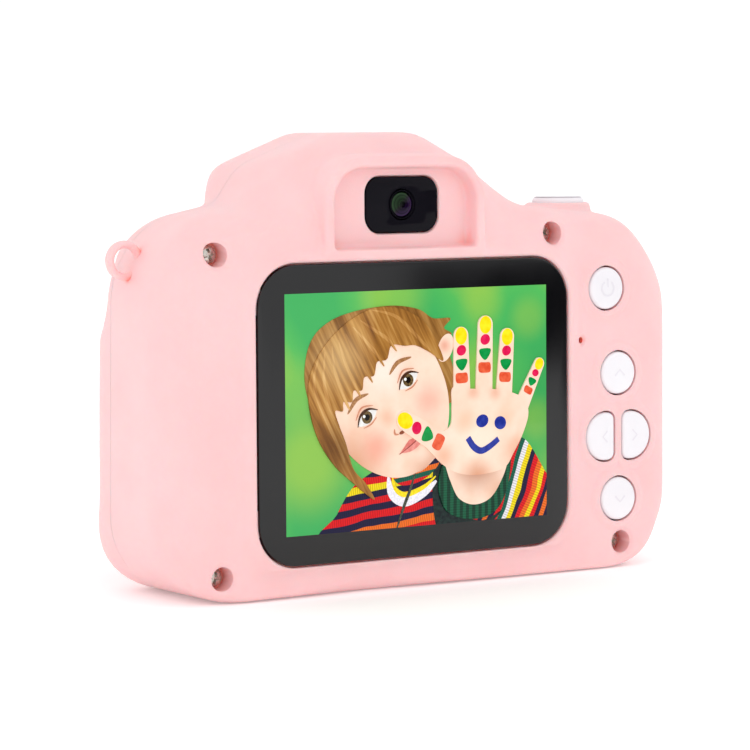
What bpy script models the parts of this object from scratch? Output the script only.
"""Kids digital camera: a two-part pink casing with a display, six push buttons, two camera modules and
their electronics. Sizes are in millimetres and are scaled to metres as each mesh is made. X runs along the
camera with the strap loop at +X, Y points out of the display side, and Z is up. The origin is the middle
of the flat base. Depths ("y") are counted from the display plane, which lies at DISPLAY_Y."""

import math

import bmesh
import bpy
from mathutils import Matrix, Vector

# ---- driving dimensions ----
MM = 0.001
GAP = 0.3
DISPLAY_Y = 12.0
HALF_WIDTH = 40.1
HEIGHT = 59.0
WALL = 1.8
PARTING_Y = -16.0
BACK_Y = -0.6
RIM_Y = 0.6

BASE_RADIUS = 10.5
SHOULDER_Z = 47.0
SHOULDER_RADIUS = 11.5
HUMP_X = 5.0

DISPLAY_X, DISPLAY_Z = 3.6, 23.4
GLASS_WIDTH, GLASS_HEIGHT, GLASS_RADIUS = 48.1, 37.9, 5.5
PANEL_X, PANEL_Z = 3.4, 23.5
PANEL_WIDTH, PANEL_HEIGHT = 42.8, 32.8
LEDGE = 1.0

HOOD_X, HOOD_HALF_WIDTH = 5.4, 12.5
HOOD_LOW_Z, HOOD_TOP_Z = 43.6, 56.0
HOOD_RADIUS = 6.2
HOOD_RIM = 1.6
HOOD_FRONT_Y, HOOD_FLOOR_Y = 1.0, -1.5

SELFIE_X, SELFIE_Z = 4.6, 49.7
SELFIE_WIDTH, SELFIE_HEIGHT, SELFIE_RADIUS = 11.1, 7.1, 2.1

BARREL_Z = 24.5
BARREL_RADIUS = 19.5
BARREL_END_Y = -38.6
LENS_FRONT_Y = -42.5

BUTTON_TOP_Y = 0.1
BUTTON_FLANGE_Y = -2.8
FLANGE_THICKNESS = 1.1
ROUND_BUTTONS = {
    "power_button": (-27.6, 37.96, 2.83),
    "up_button": (-29.6, 26.5, 2.85),
    "down_button": (-29.6, 9.5, 2.9),
}
PAD_X, PAD_Z = -29.6, 18.0
PAD_REACH, PAD_RADIUS, PAD_WEB, PAD_CORNER = 5.4, 3.25, 1.4, 1.0
SWITCH_SPOTS = {
    "power_switch": (-27.6, 37.96),
    "up_switch": (-29.6, 26.5),
    "left_switch": (-26.4, 18.0),
    "right_switch": (-32.8, 18.0),
    "down_switch": (-29.6, 9.5),
}
SWITCH_SIDE, SWITCH_HEIGHT, PLUNGER_RADIUS = 4.4, 1.3, 1.1
SHUTTER_X, SHUTTER_Y = -26.8, -10.0
SHUTTER_RADIUS, SHUTTER_FLANGE, COLLAR_RADIUS, COLLAR_Z = 3.5, 4.3, 4.4, 49.4

CASE_SCREWS = [(32.8, 43.9), (-19.0, 45.5), (32.4, 3.4), (-30.5, 3.5)]
CASE_BOSS_RADIUS = 2.35
HEAD_Y, HEAD_RADIUS, HEAD_DEPTH = -2.8, 1.2, 0.7
SHANK_RADIUS, CASE_SCREW_LENGTH = 0.75, 15.4
BOARD_SCREWS = [(-22.3, 35.9), (-22.3, 9.5), (28.2, 38.0), (28.2, 10.0)]
BOARD_Y, BOARD_THICKNESS = -6.1, 1.2
MICROPHONE_X, MICROPHONE_Z = -23.6, 31.1
LOOP_X, LOOP_Z, LOOP_Y = 39.8, 43.1, -11.9
LOOP_RADIUS, LOOP_THICK, LOOP_DEEP = 2.05, 0.5, 0.8
USB_X, USB_Y = 6.6, -9.0
CARD_X, CARD_Y = 19.5, -8.8
SPEAKER_X, SPEAKER_Y, SPEAKER_RADIUS = -14.0, -9.8, 5.2
FLASH_Z = 51.5

# ---- outline of the casing ----
BODY_ARCS = [4, 4, 4, 3, 2, 2, 2, 2, 3, 4]
BODY_EDGES = [8, 4, 3, 2, 1, 3, 1, 2, 3, 4]
TOP_STEPS = sum(BODY_ARCS[3:9]) + sum(BODY_EDGES[2:9])


def filleted(corners, arc_steps, edge_steps):
    """Closed outline through (x, z, radius) corners, each rounded by an arc, each straight split evenly."""
    arcs = []
    count = len(corners)
    for i, (x, z, radius) in enumerate(corners):
        here = Vector((x, z))
        back = (Vector(corners[i - 1][:2]) - here).normalized()
        ahead = (Vector(corners[(i + 1) % count][:2]) - here).normalized()
        half = back.angle(ahead) / 2
        centre = here + (back + ahead).normalized() * radius / math.sin(half)
        start = here + back * radius / math.tan(half) - centre
        sweep = math.pi - 2 * half
        turn = math.copysign(sweep, back.x * -ahead.y + back.y * ahead.x)
        steps = arc_steps[i]
        arcs.append([centre + Matrix.Rotation(turn * k / steps, 2) @ start for k in range(steps + 1)])
    points = []
    for i, arc in enumerate(arcs):
        following = arcs[(i + 1) % count][0]
        points += arc
        for k in range(1, edge_steps[i]):
            points.append(arc[-1].lerp(following, k / edge_steps[i]))
    return points


def inset(points, distance):
    """Moves a closed outline's points inwards by a distance, along the mean of their edges' normals."""
    area = sum(a.x * b.y - b.x * a.y for a, b in zip(points, points[1:] + points[:1]))
    side = math.copysign(1.0, area)
    moved = []
    for i, here in enumerate(points):
        before = (here - points[i - 1]).normalized()
        after = (points[(i + 1) % len(points)] - here).normalized()
        mean = (before + after).normalized()
        reach = distance / max(mean.dot(before), 0.5)
        moved.append(here + Vector((-mean.y, mean.x)) * side * reach)
    return moved


def smooth(low, high, value):
    """0 below low, 1 above high, and a smooth step between them."""
    t = min(max((value - low) / (high - low), 0.0), 1.0)
    return t * t * (3 - 2 * t)


def body_outline(y):
    """The casing's outline at a depth: a rounded base, two shoulders, and a hump that flares to the front."""
    flare = smooth(8.0, 16.0, -y)
    ridge = (6.4 - 2.2 * flare, HEIGHT, 5.0 + flare)
    upper = (12.2 + 3.5 * flare, 56.0 - 1.3 * flare, 8.0 - flare)
    foot = (22.0 - 2.7 * flare, 49.3 + 0.5 * flare, 9.0 - 6.0 * flare)
    left_shoulder = SHOULDER_Z + 1.4 - 1.5 * flare
    left = [(HUMP_X + x, z, radius) for x, z, radius in (foot, upper, ridge)]
    right = [(HUMP_X - x, z, radius) for x, z, radius in (ridge, upper, foot)]
    corners = [(-HALF_WIDTH, 0.0, BASE_RADIUS), (HALF_WIDTH, 0.0, BASE_RADIUS)]
    corners += [(HALF_WIDTH - 0.8 * flare, left_shoulder, SHOULDER_RADIUS)] + left + right
    corners += [(-HALF_WIDTH, SHOULDER_Z, SHOULDER_RADIUS)]
    return filleted(corners, BODY_ARCS, BODY_EDGES)


def glass_outline(grow=0.0):
    """The display glass's outline, grown by a distance, with as many points as the casing's outline."""
    half_x, half_z = GLASS_WIDTH / 2 + grow, GLASS_HEIGHT / 2 + grow
    radius = GLASS_RADIUS + grow
    signs = [(-1, -1), (1, -1), (1, 1), (-1, 1)]
    corners = [(DISPLAY_X + sx * half_x, DISPLAY_Z + sz * half_z, radius) for sx, sz in signs]
    side = BODY_EDGES[1]
    return filleted(corners, BODY_ARCS[:1] * 4, [BODY_EDGES[0], side, TOP_STEPS, side])


def ring(outline, depths):
    """An outline as 3-D points, at one depth or at a depth for each point."""
    if isinstance(depths, float):
        depths = [depths] * len(outline)
    return [Vector((p.x, y, p.y)) for p, y in zip(outline, depths)]


def barrel_ring(radius, y):
    """A circle round the lens axis, with a point facing each point of the casing's outline."""
    centre = Vector((HUMP_X, BARREL_Z))
    return [
        Vector((centre.x + d.x * radius, y, centre.y + d.y * radius))
        for d in ((p - centre).normalized() for p in body_outline(PARTING_Y))
    ]


def back_radius(point):
    """Radius of the edge between the side and the back: tight at the base and beside the buttons."""
    by_buttons = smooth(30.0, 38.0, -point.x)
    radius = 5.0 + smooth(4.0, 12.0, point.y) * (1 - by_buttons) + 2.0 * smooth(46.0, 52.0, point.y)
    return radius + 2.5 * by_buttons * smooth(34.0, 44.0, point.y)


def front_edge(point):
    """Depth of the front face, and how deep and how wide its edge is: the shoulders stand back."""
    on_hump = 1 - smooth(15.0, 22.0, abs(point.x - HUMP_X))
    cheek = 1 - smooth(41.0, 44.5, point.y)
    shoulder = smooth(33.0, 39.0, point.y) * (1 - on_hump)
    depth = -25.0 + 4.0 * shoulder + 2.0 * smooth(33.0, 37.0, point.y) * cheek
    radius = 8.0 - 3.0 * (1 - smooth(2.0, 12.0, point.y)) - 4.0 * on_hump * smooth(40.0, 46.0, point.y)
    deep = min(radius, PARTING_Y - 0.8 - depth)
    return depth, deep, deep + (1.25 * radius - deep) * cheek


def back_rings(shrink, steps):
    """Rings of the rear shell's surface, shrunk by a distance, from the parting line to the flat back."""
    rings = [ring(inset(body_outline(y), shrink), y) for y in (PARTING_Y, -12.0)]
    start = body_outline(-9.0)
    target = glass_outline(2.6)
    for k in range(steps + 1):
        angle = math.pi / 2 * k / steps
        points = []
        for edge, inner in zip(inset(start, shrink), target):
            radius = back_radius(edge) - shrink
            along = (inner - edge).normalized() * radius * (1 - math.cos(angle))
            y = BACK_Y - shrink - radius * (1 - math.sin(angle))
            points.append(Vector((edge.x + along.x, y, edge.y + along.y)))
        rings.append(points)
    return rings


def front_rings(shrink, steps):
    """Rings of the front shell's surface, shrunk by a distance, from the parting line to the barrel."""
    rings = [ring(inset(body_outline(PARTING_Y), shrink), PARTING_Y - GAP)]
    outline = inset(body_outline(-22.0), shrink)
    foot = barrel_ring(BARREL_RADIUS + 1.2 - shrink, -23.6 + shrink)
    for k in range(steps + 1):
        angle = math.pi / 2 * k / steps
        points = []
        for edge, inner in zip(outline, foot):
            depth, deep, wide = front_edge(edge)
            along = Vector((inner.x, inner.z)) - edge
            step = along.normalized() * min(wide - shrink, along.length * 0.6) * (1 - math.cos(angle))
            y = depth + shrink + (deep - shrink) * (1 - math.sin(angle))
            points.append(Vector((edge.x + step.x, y, edge.y + step.y)))
        rings.append(points)
    return rings + [foot]


# ---- meshes and objects ----
def material(name, colour, roughness, metallic=0.0):
    """A Principled material, made once for each name."""
    made = bpy.data.materials.get(name)
    if made is None:
        made = bpy.data.materials.new(name)
        made.use_nodes = True
        shader = made.node_tree.nodes["Principled BSDF"]
        shader.inputs["Base Color"].default_value = (*colour, 1.0)
        shader.inputs["Roughness"].default_value = roughness
        shader.inputs["Metallic"].default_value = metallic
    return made


def pink():
    return material("pink_plastic", (0.88, 0.60, 0.61), 0.55)


def white():
    return material("white_plastic", (0.86, 0.84, 0.87), 0.4)


def black():
    return material("black_plastic", (0.015, 0.015, 0.018), 0.35)


def gloss():
    return material("black_glass", (0.01, 0.01, 0.012), 0.05)


def clear():
    return material("clear_plastic", (0.75, 0.8, 0.85), 0.05)


def nickel():
    return material("nickel_steel", (0.72, 0.70, 0.67), 0.25, 1.0)


def green():
    return material("board_green", (0.02, 0.20, 0.09), 0.45)


def silver():
    return material("battery_foil", (0.6, 0.61, 0.63), 0.35, 0.8)


def amber():
    return material("ribbon_amber", (0.55, 0.24, 0.05), 0.4)


def grey():
    return material("foam_grey", (0.12, 0.12, 0.13), 0.9)


def finish(name, mesh, made, at=(0.0, 0.0, 0.0), turn=None):
    """Scales a bmesh to metres, points its faces outwards, and places it, counted from the display."""
    bmesh.ops.recalc_face_normals(mesh, faces=mesh.faces)
    bmesh.ops.scale(mesh, vec=(MM, MM, MM), verts=mesh.verts)
    data = bpy.data.meshes.new(name)
    mesh.to_mesh(data)
    mesh.free()
    data.materials.append(made)
    data.shade_smooth()
    data.set_sharp_from_angle(angle=math.radians(35))
    placed = bpy.data.objects.new(name, data)
    bpy.context.scene.collection.objects.link(placed)
    placed.location = Vector((at[0], at[1] + DISPLAY_Y, at[2])) * MM
    if turn is not None:
        placed.rotation_euler = turn
    return placed


def skinned(rings, closed=False):
    """A bmesh through rings of equal size: capped at both ends, or joined end to end."""
    mesh = bmesh.new()
    loops = [[mesh.verts.new(p) for p in points] for points in rings]
    pairs = list(zip(loops, loops[1:]))
    if closed:
        pairs.append((loops[-1], loops[0]))
    else:
        mesh.faces.new(loops[0])
        mesh.faces.new(loops[-1])
    for first, second in pairs:
        for i in range(len(first)):
            mesh.faces.new((first[i - 1], first[i], second[i], second[i - 1]))
    return mesh


def stack(outline, levels):
    """A bmesh along Z of an outline, from (z, inset) levels."""
    return skinned([[Vector((p.x, p.y, z)) for p in inset(outline, d)] for z, d in levels])


def circle(radius, steps):
    """A circle's points."""
    return [Vector((radius, 0.0)) @ Matrix.Rotation(math.tau * k / steps, 2) for k in range(steps)]


def rounded(width, height, radius, steps=2):
    """A rounded rectangle's points."""
    signs = [(-1, -1), (1, -1), (1, 1), (-1, 1)]
    corners = [(sx * width / 2, sy * height / 2, radius) for sx, sy in signs]
    return filleted(corners, [steps] * 4, [1] * 4)


def turned(profile, steps):
    """A bmesh turned about Z from an (radius, z) profile, which closes on itself if it misses the axis."""
    if min(radius for radius, _ in profile) > 0:
        return skinned([[Vector((p.x, p.y, z)) for p in circle(r, steps)] for r, z in profile], True)
    body = [(r, z) for r, z in profile if r > 0]
    mesh = bmesh.new()
    loops = [[mesh.verts.new((p.x, p.y, z)) for p in circle(r, steps)] for r, z in body]
    for first, second in zip(loops, loops[1:]):
        for i in range(steps):
            mesh.faces.new((first[i - 1], first[i], second[i], second[i - 1]))
    for (_, z), loop in ((profile[0], loops[0]), (profile[-1], loops[-1])):
        tip = mesh.verts.new((0.0, 0.0, z))
        for i in range(steps):
            mesh.faces.new((loop[i - 1], loop[i], tip))
    return mesh


FACE_BACK = (-math.pi / 2, 0.0, 0.0)
FACE_FRONT = (math.pi / 2, 0.0, 0.0)


def disc(name, radius, depth, made, at, turn, steps=16, bevel=0.2):
    """A round plate whose top faces along the turn's Z, with its top centre at a spot."""
    levels = [(-depth, 0.0), (-bevel, 0.0), (0.0, bevel)]
    return finish(name, stack(circle(radius, steps), levels), made, at, turn)


def block(name, width, height, depth, made, at, turn=FACE_BACK, bevel=0.15, corner=0.3):
    """A plate with rounded corners, with its top centre at a spot."""
    levels = [(-depth, 0.0), (-bevel, 0.0), (0.0, bevel)]
    return finish(name, stack(rounded(width, height, corner, 1), levels), made, at, turn)


def hide(guide):
    """Marks an object as a guide that only shapes others."""
    guide.hide_render = True
    guide.display_type = "WIRE"
    return guide


def combine(target, guide, operation):
    """Adds a Boolean with a guide object to a target."""
    hide(guide)
    change = target.modifiers.new(guide.name, "BOOLEAN")
    change.operation = operation
    change.solver = "EXACT"
    change.object = guide


def join_to(target, name, mesh, at=(0.0, 0.0, 0.0), turn=None):
    combine(target, finish(name, mesh, pink(), at, turn), "UNION")


def cut_from(target, name, mesh, at=(0.0, 0.0, 0.0), turn=None):
    combine(target, finish(name, mesh, pink(), at, turn), "DIFFERENCE")


def tube_along_y(radius, low, high, steps=12):
    """A cylinder from one depth to another, to be faced to the back at depth 0."""
    return stack(circle(radius, steps), [(low, 0.0), (high, 0.0)])


# ---- casing ----
def hood_outline(shrink):
    half = HOOD_HALF_WIDTH - shrink
    low, top = HOOD_LOW_Z + shrink * 0.4, HOOD_TOP_Z - shrink
    radius = HOOD_RADIUS - shrink * 1.2
    corners = [(-half, low, 0.6), (half, low, 0.6), (half, top, radius), (-half, top, radius)]
    return filleted([(HOOD_X + x, z, r) for x, z, r in corners], [1, 1, 4, 4], [1] * 4)


def boss_in(core, target, name, spot, low, high):
    """A screw boss that ends inside the casing's wall, joined to a shell."""
    boss = finish(name, tube_along_y(CASE_BOSS_RADIUS, low, high), pink(), (spot[0], 0.0, spot[1]), FACE_BACK)
    combine(boss, core, "INTERSECT")
    combine(target, boss, "UNION")


def rear_shell():
    outer = back_rings(0.0, 4)
    rim = [
        ring(glass_outline(3.0), BACK_Y + 0.2),
        ring(glass_outline(1.7), RIM_Y - 0.3),
        ring(glass_outline(0.9), RIM_Y),
        ring(glass_outline(GAP), RIM_Y - 0.4),
        ring(glass_outline(GAP), -0.7),
        ring(glass_outline(-LEDGE), -0.7),
        ring(glass_outline(-LEDGE), BACK_Y - WALL + 0.4),
        ring(glass_outline(1.0), BACK_Y - WALL),
    ]
    shell = finish("rear_shell", skinned(outer + rim + back_rings(WALL, 3)[::-1], True), pink())
    core = hide(finish("rear_core", skinned(back_rings(WALL / 2, 4)), pink()))
    levels = [(-6.0, 0.0), (HOOD_FRONT_Y - 0.4, 0.0), (HOOD_FRONT_Y, 0.4)]
    hood = skinned([ring(inset(hood_outline(0.0), d), y) for y, d in levels])
    join_to(shell, "hood", hood)
    for i, spot in enumerate(CASE_SCREWS):
        boss_in(core, shell, f"rear_boss_{i + 1}", spot, PARTING_Y + 0.1, BACK_Y - 1.0)
    for i, (x, z) in enumerate(BOARD_SCREWS):
        join_to(shell, f"post_{i + 1}", tube_along_y(1.8, -5.8, -2.0, 10), (x, 0.0, z), FACE_BACK)
    collar = stack(circle(COLLAR_RADIUS, 20), [(43.6, 0.0), (COLLAR_Z - 0.4, 0.0), (COLLAR_Z, 0.4)])
    join_to(shell, "shutter_collar", collar, (SHUTTER_X, SHUTTER_Y, 0.0))
    strap_loop(shell)
    cut_rear_shell(shell)


def strap_loop(shell):
    """A moulded eye at the shoulder, with its hole along Y."""
    mesh = bmesh.new()
    steps, sides = 16, 8
    loops = []
    for k in range(steps):
        turn = Matrix.Rotation(math.tau * k / steps, 3, "Z")
        section = [(LOOP_THICK * p.x, LOOP_DEEP * p.y) for p in circle(1.0, sides)]
        loops.append([mesh.verts.new(turn @ Vector((LOOP_RADIUS + p, 0.0, q))) for p, q in section])
    for k in range(steps):
        for i in range(sides):
            mesh.faces.new((loops[k - 1][i - 1], loops[k - 1][i], loops[k][i], loops[k][i - 1]))
    eye = finish("strap_loop", mesh, pink(), (LOOP_X, LOOP_Y, LOOP_Z), FACE_BACK)
    inside = skinned([ring(inset(body_outline(-9.0), WALL / 2), y) for y in (-15.0, -4.0)])
    cut_from(eye, "loop_root", inside)
    combine(shell, eye, "UNION")


def pad_half(side, grow):
    """A D-shaped half of the pad: a disc cut flat at the web, with rounded corners."""
    reach = PAD_RADIUS + grow
    corner = PAD_CORNER + grow
    middle = PAD_REACH - PAD_RADIUS
    corner_x = PAD_WEB / 2 - grow + corner - middle
    corner_z = math.sqrt((reach - corner) ** 2 - corner_x**2)
    tip = math.atan2(corner_z, corner_x)
    points = [Matrix.Rotation(tip * (k / 5 - 1), 2) @ Vector((reach, 0.0)) for k in range(11)]
    for sign, first, last in ((1, tip, math.pi), (-1, math.pi, 2 * math.pi - tip)):
        for k in range(1, 4) if sign > 0 else range(0, 3):
            angle = first + (last - first) * k / 3
            turn = Vector((math.cos(angle), math.sin(angle))) * corner
            points.append(Vector((corner_x, sign * corner_z)) + turn)
    return [Vector((side * (middle + p.x), p.y)) for p in points]


def cut_rear_shell(shell):
    recess = skinned([ring(hood_outline(HOOD_RIM), y) for y in (HOOD_FLOOR_Y, HOOD_FRONT_Y + 1.0)])
    cut_from(shell, "hood_recess", recess)
    room = skinned([ring(hood_outline(WALL), y) for y in (-12.0, HOOD_FLOOR_Y - WALL)])
    cut_from(shell, "hood_room", room)
    pocket = stack(rounded(SELFIE_WIDTH + 2 * GAP, SELFIE_HEIGHT + 2 * GAP, SELFIE_RADIUS + GAP),
                   [(-2.5, 0.0), (0.0, 0.0)])
    cut_from(shell, "selfie_pocket", pocket, (SELFIE_X, 0.0, SELFIE_Z), FACE_BACK)
    eye = tube_along_y(2.3, -5.0, -1.0, 12)
    cut_from(shell, "selfie_eye", eye, (SELFIE_X, 0.0, SELFIE_Z), FACE_BACK)
    for name, (x, z, radius) in ROUND_BUTTONS.items():
        cut_from(shell, name + "_hole", tube_along_y(radius + GAP, -6.0, 3.0, 16), (x, 0.0, z), FACE_BACK)
    for name, side in (("left_button", 1), ("right_button", -1)):
        hole = stack(pad_half(side, GAP), [(-6.0, 0.0), (3.0, 0.0)])
        cut_from(shell, name + "_hole", hole, (PAD_X, 0.0, PAD_Z), FACE_BACK)
    cut_from(shell, "microphone_hole", tube_along_y(0.5, -4.0, 1.0, 8),
             (MICROPHONE_X, 0.0, MICROPHONE_Z), FACE_BACK)
    seat = HEAD_Y - HEAD_DEPTH - GAP
    wide, narrow = HEAD_RADIUS + 0.35, SHANK_RADIUS + GAP
    bore = [(0.0, 3.0), (wide, 3.0), (wide, seat), (narrow, seat), (narrow, -17.0), (0.0, -17.0)]
    for i, (x, z) in enumerate(CASE_SCREWS):
        counterbore = turned(bore, 12)
        cut_from(shell, f"screw_hole_{i + 1}", counterbore, (x, 0.0, z), FACE_BACK)
    for i, (x, z) in enumerate(BOARD_SCREWS):
        cut_from(shell, f"pilot_{i + 1}", tube_along_y(0.9, -7.0, -3.2, 8), (x, 0.0, z), FACE_BACK)
    bore = stack(circle(SHUTTER_RADIUS + GAP, 20), [(40.0, 0.0), (52.0, 0.0)])
    cut_from(shell, "shutter_bore", bore, (SHUTTER_X, SHUTTER_Y, 0.0))
    port = stack(rounded(8.0, 3.2, 0.6, 1), [(-1.0, 0.0), (4.0, 0.0)])
    cut_from(shell, "usb_port", port, (USB_X, USB_Y, 0.0))
    slot = stack(rounded(12.0, 1.7, 0.4, 1), [(-1.0, 0.0), (4.0, 0.0)])
    cut_from(shell, "card_slot", slot, (CARD_X, CARD_Y, 0.0))
    for i in range(6):
        spot = Matrix.Rotation(math.tau * i / 6, 2) @ Vector((2.6, 0.0))
        hole = stack(circle(0.55, 6), [(-1.0, 0.0), (3.0, 0.0)])
        cut_from(shell, f"speaker_hole_{i + 1}", hole, (SPEAKER_X + spot.x, SPEAKER_Y + spot.y, 0.0))


def front_shell():
    outer = front_rings(0.0, 4)
    barrel = [
        barrel_ring(BARREL_RADIUS, -25.2),
        barrel_ring(BARREL_RADIUS, BARREL_END_Y + 0.6),
        barrel_ring(BARREL_RADIUS - 0.6, BARREL_END_Y),
        barrel_ring(17.7, BARREL_END_Y),
        barrel_ring(17.7, -37.4),
        barrel_ring(7.0, -37.4),
        barrel_ring(7.0, -35.6),
        barrel_ring(17.7, -35.6),
        barrel_ring(17.7, -24.0),
    ]
    inner = front_rings(WALL, 3)[::-1]
    lip_out, lip_in = WALL + GAP, WALL + GAP + 0.8
    lip = [
        ring(inset(body_outline(PARTING_Y), lip_in), PARTING_Y - GAP - 0.2),
        ring(inset(body_outline(PARTING_Y), lip_in), PARTING_Y + 1.5),
        ring(inset(body_outline(PARTING_Y), lip_out), PARTING_Y + 1.5),
        ring(inset(body_outline(PARTING_Y), lip_out), PARTING_Y - GAP),
    ]
    shell = finish("front_shell", skinned(outer + barrel + inner[:-1] + lip, True), pink())
    core = hide(finish("front_core", skinned(front_rings(WALL / 2, 3)), pink()))
    for i, spot in enumerate(CASE_SCREWS):
        boss_in(core, shell, f"front_boss_{i + 1}", spot, -24.5, PARTING_Y - GAP - 0.1)
    step, end = PARTING_Y - GAP - 0.05, -18.6
    room, narrow = CASE_BOSS_RADIUS + GAP, SHANK_RADIUS + GAP
    for i, (x, z) in enumerate(CASE_SCREWS):
        profile = [(0.0, -12.0), (room, -12.0), (room, step), (narrow, step), (narrow, end), (0.0, end)]
        pilot = turned(profile, 12)
        cut_from(shell, f"front_pilot_{i + 1}", pilot, (x, 0.0, z), FACE_BACK)
    clearance = stack(circle(COLLAR_RADIUS + GAP, 16), [(42.0, 0.0), (48.5, 0.0)])
    cut_from(shell, "collar_clearance", clearance, (SHUTTER_X, SHUTTER_Y, 0.0))
    window = stack(rounded(9.6, 5.1, 1.3), [(-28.0, 0.0), (-18.0, 0.0)])
    cut_from(shell, "flash_opening", window, (HUMP_X, 0.0, FLASH_Z), FACE_BACK)


# ---- display and selfie camera ----
def display():
    glass = skinned([ring(inset(glass_outline(), d), y) for y, d in ((-0.4, 0.0), (0.2, 0.0), (0.4, 0.2))])
    finish("display_glass", glass, gloss())
    at = (PANEL_X, -0.7, PANEL_Z)
    panel = material("lcd_glass", (0.10, 0.32, 0.13), 0.2)
    block("lcd_panel", PANEL_WIDTH, PANEL_HEIGHT, 1.3, panel, at, corner=1.2)
    block("lcd_backlight", 43.0, 33.0, 1.6, white(), (PANEL_X, -3.3, PANEL_Z))
    block("lcd_tray", 44.0, 34.0, 0.2, silver(), (PANEL_X, -5.2, PANEL_Z), bevel=0.05)
    block("lcd_foam", 24.0, 20.0, 0.2, grey(), (PANEL_X, -5.65, PANEL_Z), bevel=0.05)


def selfie_camera():
    at = (SELFIE_X, HOOD_FLOOR_Y, SELFIE_Z)
    outline = rounded(SELFIE_WIDTH, SELFIE_HEIGHT, SELFIE_RADIUS)
    plate = stack(outline, [(-0.7, 0.0), (-0.15, 0.0), (0.0, 0.15)])
    window = finish("selfie_window", plate, gloss(), at, FACE_BACK)
    cut_from(window, "selfie_window_hole", tube_along_y(1.95, -3.0, 3.0, 16), at, FACE_BACK)
    dome = [(0.0, 0.25), (0.7, 0.18), (1.3, 0.0), (1.6, -0.25), (1.6, -2.0), (0.0, -2.0)]
    finish("selfie_lens", turned(dome, 16), gloss(), at, FACE_BACK)
    block("selfie_camera", 8.5, 8.5, 3.5, black(), (SELFIE_X, -3.8, SELFIE_Z))
    block("selfie_ribbon", 6.0, 7.0, 0.2, amber(), (SELFIE_X, -7.6, 41.6), bevel=0.05)


# ---- buttons ----
def cap(name, outline, grow_flange, at):
    """A push button: a cap with a domed top on a wider flange, facing the back."""
    dome = [(BUTTON_FLANGE_Y - FLANGE_THICKNESS, -grow_flange), (BUTTON_FLANGE_Y, -grow_flange),
            (BUTTON_FLANGE_Y, 0.0), (BUTTON_TOP_Y - 0.55, 0.0), (BUTTON_TOP_Y - 0.12, 0.25),
            (BUTTON_TOP_Y, 0.8)]
    finish(name, stack(outline, dome), white(), at, FACE_BACK)


def buttons():
    for name, (x, z, radius) in ROUND_BUTTONS.items():
        cap(name, circle(radius, 16), 0.5, (x, 0.0, z))
    for name, side in (("left_button", 1), ("right_button", -1)):
        cap(name, pad_half(side, 0.0), 0.35, (PAD_X, 0.0, PAD_Z))
    profile = [(0.0, 50.25), (SHUTTER_RADIUS - 0.9, 50.2), (SHUTTER_RADIUS - 0.2, 49.95),
               (SHUTTER_RADIUS, 49.5), (SHUTTER_RADIUS, 43.3), (SHUTTER_FLANGE, 43.3),
               (SHUTTER_FLANGE, 42.7), (0.0, 42.7)]
    finish("shutter_button", turned(profile, 20), white(), (SHUTTER_X, SHUTTER_Y, 0.0))


def switch(name, at, turn):
    """A tact switch: a square housing with a round plunger, standing on its board at a spot."""
    housing = stack(rounded(SWITCH_SIDE, SWITCH_SIDE, 0.4), [(0.0, 0.0), (SWITCH_HEIGHT - 0.4, 0.0)])
    made = finish(name, housing, black(), at, turn)
    plunger = stack(circle(PLUNGER_RADIUS, 12), [(0.3, 0.0), (SWITCH_HEIGHT, 0.0)])
    join_to(made, name + "_plunger", plunger, at, turn)


# ---- electronics ----
def boards():
    foot = [(-35.5, 7.0), (-9.0, 7.0), (-9.0, 2.8), (12.0, 2.8), (12.0, 7.0), (30.6, 7.0)]
    corners = foot + [(30.6, 42.0), (-35.5, 42.0)]
    plan = filleted([(x, z, 0.8) for x, z in corners], [1] * 8, [1] * 8)
    sheet = skinned([ring(plan, y) for y in (BOARD_Y - BOARD_THICKNESS, BOARD_Y)])
    board = finish("main_board", sheet, green())
    for i, (x, z) in enumerate(BOARD_SCREWS):
        cut_from(board, f"board_hole_{i + 1}", tube_along_y(0.9, -9.0, -4.0, 8), (x, 0.0, z), FACE_BACK)
    for name, (x, z) in SWITCH_SPOTS.items():
        switch(name, (x, BOARD_Y + GAP, z), FACE_BACK)
    block("microphone", 3.8, 3.0, 1.1, silver(), (MICROPHONE_X, -4.7, MICROPHONE_Z))
    front_face = BOARD_Y - BOARD_THICKNESS - GAP
    block("processor_chip", 10.0, 10.0, 1.0, black(), (-17.0, front_face, 26.0), bevel=0.1)
    block("memory_chip", 6.0, 8.0, 0.9, black(), (-17.0, front_face, 12.5), bevel=0.1)
    block("shutter_board", 10.0, 8.0, 0.9, green(), (SHUTTER_X, SHUTTER_Y - 1.9, 39.4), (0.0, 0.0, 0.0), 0.1)
    switch("shutter_switch", (SHUTTER_X, SHUTTER_Y, 40.0), (0.0, 0.0, 0.0))
    block("battery_pad", 28.0, 19.0, 0.6, grey(), (9.0, front_face, 27.5), bevel=0.1)
    block("battery", 34.0, 24.5, 5.4, silver(), (9.0, front_face - 0.9, 29.0), bevel=0.8, corner=1.2)
    rim = SPEAKER_RADIUS
    cone = [(0.0, 0.8), (2.0, 0.8), (3.2, 0.0), (rim, 0.0), (rim, 1.8), (3.4, 3.0), (0.0, 3.0)]
    finish("speaker", turned(cone, 16), black(), (SPEAKER_X, SPEAKER_Y, 3.2))


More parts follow.
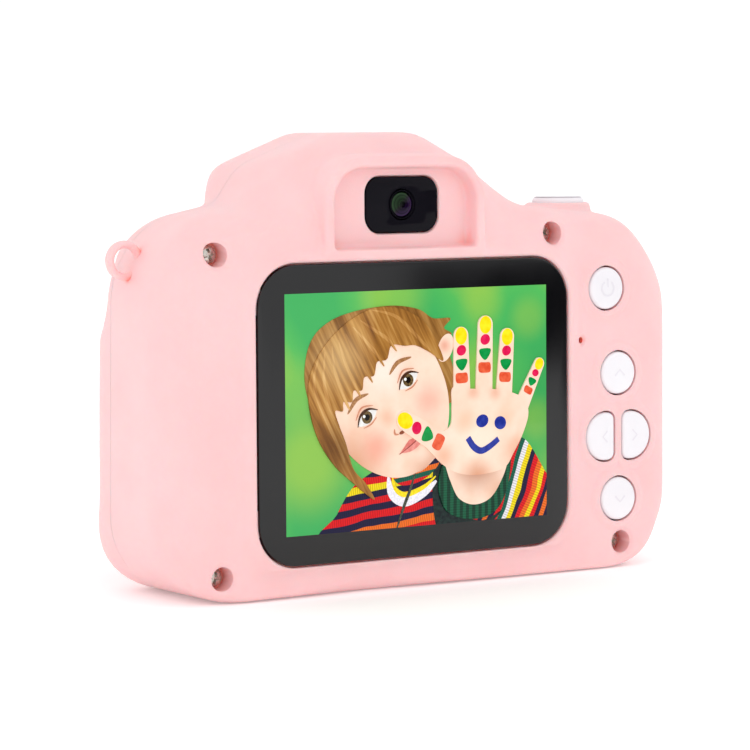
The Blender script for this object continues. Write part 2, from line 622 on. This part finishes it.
def sockets():
    usb = stack(rounded(7.4, 2.6, 0.5, 1), [(0.5, 0.0), (5.9, 0.0)])
    shell = finish("usb_socket", usb, nickel(), (USB_X, USB_Y, 0.0))
    mouth = stack(rounded(6.6, 1.9, 0.4, 1), [(0.0, 0.0), (4.8, 0.0)])
    cut_from(shell, "usb_mouth", mouth, (USB_X, USB_Y, 0.0))
    tongue = stack(rounded(4.2, 0.6, 0.1, 1), [(1.0, 0.0), (5.2, 0.0)])
    join_to(shell, "usb_tongue", tongue, (USB_X, USB_Y, 0.0))
    card = stack(rounded(14.0, 2.3, 0.3, 1), [(2.0, 0.0), (15.9, 0.0)])
    cage = finish("card_socket", card, nickel(), (CARD_X, CARD_Y, 0.0))
    throat = stack(rounded(11.6, 1.4, 0.1, 1), [(1.0, 0.0), (15.5, 0.0)])
    cut_from(cage, "card_throat", throat, (CARD_X, CARD_Y, 0.0))
    corners = [(-5.5, 0.0), (5.5, 0.0), (5.5, 10.5), (4.4, 12.0), (4.4, 14.7), (-5.5, 14.7)]
    plan = filleted([(x, z, 0.4) for x, z in corners], [1] * 6, [1] * 6)
    card = skinned([ring(plan, y) for y in (-0.35, 0.35)])
    finish("memory_card", card, black(), (CARD_X, CARD_Y, 0.5))


def screw(name, radius, head_radius, head_depth, length, at, turn):
    """A pan-head screw with a cross recess, its head's top centre at a spot."""
    body = [(0.0, 0.0), (head_radius * 0.62, -0.03), (head_radius * 0.9, -0.2), (head_radius, -0.4),
            (head_radius, -head_depth), (radius, -head_depth), (radius, -length + 0.8), (0.0, -length)]
    made = finish(name, turned(body, 10), nickel(), at, turn)
    arm, width, depth = head_radius * 0.62, head_radius * 0.13, 0.4
    plan = [Vector((arm, -width)), Vector((arm, width)), Vector((width, width))]
    cross = []
    for k in range(4):
        cross += [Matrix.Rotation(math.pi / 2 * k, 2) @ p for p in plan]
    cut_from(made, name + "_cross", stack(cross, [(-depth, 0.0), (1.0, 0.0)]), at, turn)


def screws():
    for i, (x, z) in enumerate(CASE_SCREWS):
        at = (x, HEAD_Y, z)
        screw(f"case_screw_{i + 1}", SHANK_RADIUS, HEAD_RADIUS, HEAD_DEPTH, CASE_SCREW_LENGTH, at, FACE_BACK)
    front = BOARD_Y - BOARD_THICKNESS - GAP - 0.7
    for i, (x, z) in enumerate(BOARD_SCREWS):
        screw(f"board_screw_{i + 1}", 0.6, 1.3, 0.7, 4.4, (x, front, z), FACE_FRONT)


# ---- lens barrel and flash ----
def lens():
    rise = BARREL_END_Y - LENS_FRONT_Y
    trim = [(19.2, GAP), (19.2, rise - 0.9), (18.3, rise), (16.4, rise), (15.1, rise - 1.2),
            (15.1, -0.9), (17.4, -0.9), (17.4, GAP)]
    spot = (HUMP_X, BARREL_END_Y, BARREL_Z)
    ring_pink = material("ring_pink", (0.80, 0.42, 0.46), 0.4)
    finish("lens_ring", turned(trim, 32), ring_pink, spot, FACE_FRONT)
    face = [(14.7, -0.9), (14.7, 2.2), (13.9, 2.6), (12.4, 1.8), (7.6, 0.6), (6.4, 1.0), (5.3, 0.8),
            (5.3, -0.9)]
    finish("lens_face", turned(face, 28), black(), spot, FACE_FRONT)
    disc("lens_window", 5.0, 0.9, clear(), (HUMP_X, -39.1, BARREL_Z), FACE_FRONT)
    disc("front_lens", 3.6, 1.9, black(), (HUMP_X, -37.5, BARREL_Z), FACE_FRONT)
    dome = [(0.0, 0.45), (1.2, 0.3), (2.0, 0.0), (0.0, 0.0)]
    finish("front_lens_glass", turned(dome, 12), clear(), (HUMP_X, -37.8, BARREL_Z), FACE_FRONT)
    block("front_camera", 11.0, 11.0, 4.0, black(), (HUMP_X, -35.3, BARREL_Z), FACE_FRONT)
    block("front_camera_board", 14.0, 14.0, 0.9, green(), (HUMP_X, -31.0, BARREL_Z), FACE_FRONT, 0.1)
    ribbon = [(-29.8, 20.0), (-26.0, 17.0), (-20.0, 13.5), (-13.0, 11.0), (-9.5, 10.2), (-7.8, 8.5),
              (-7.7, 4.6)]
    loops = []
    for i, (y, z) in enumerate(ribbon):
        low, high = ribbon[max(i - 1, 0)], ribbon[min(i + 1, len(ribbon) - 1)]
        normal = Vector((-(high[1] - low[1]), high[0] - low[0])).normalized() * 0.1
        sides = [(-1, 1), (1, 1), (1, -1), (-1, -1)]
        loops.append([Vector((sx * 3.0, y + sn * normal.x, z + sn * normal.y)) for sx, sn in sides])
    finish("front_ribbon", skinned(loops), amber(), (-4.0, 0.0, 0.0))


def flash():
    window = stack(rounded(9.0, 4.5, 1.0), [(-1.6, 0.0), (-0.2, 0.0), (0.0, 0.2)])
    finish("flash_window", window, clear(), (HUMP_X, -24.3, FLASH_Z), FACE_FRONT)
    led = material("led_yellow", (0.8, 0.7, 0.15), 0.3)
    block("flash_led", 3.5, 2.8, 1.0, led, (HUMP_X, -22.4, FLASH_Z), FACE_FRONT)
    block("flash_board", 11.0, 5.5, 0.8, green(), (HUMP_X, -21.1, FLASH_Z), FACE_FRONT, 0.1)


def main():
    for old in list(bpy.data.objects):
        bpy.data.objects.remove(old, do_unlink=True)
    rear_shell()
    front_shell()
    display()
    selfie_camera()
    buttons()
    boards()
    sockets()
    screws()
    lens()
    flash()


main()
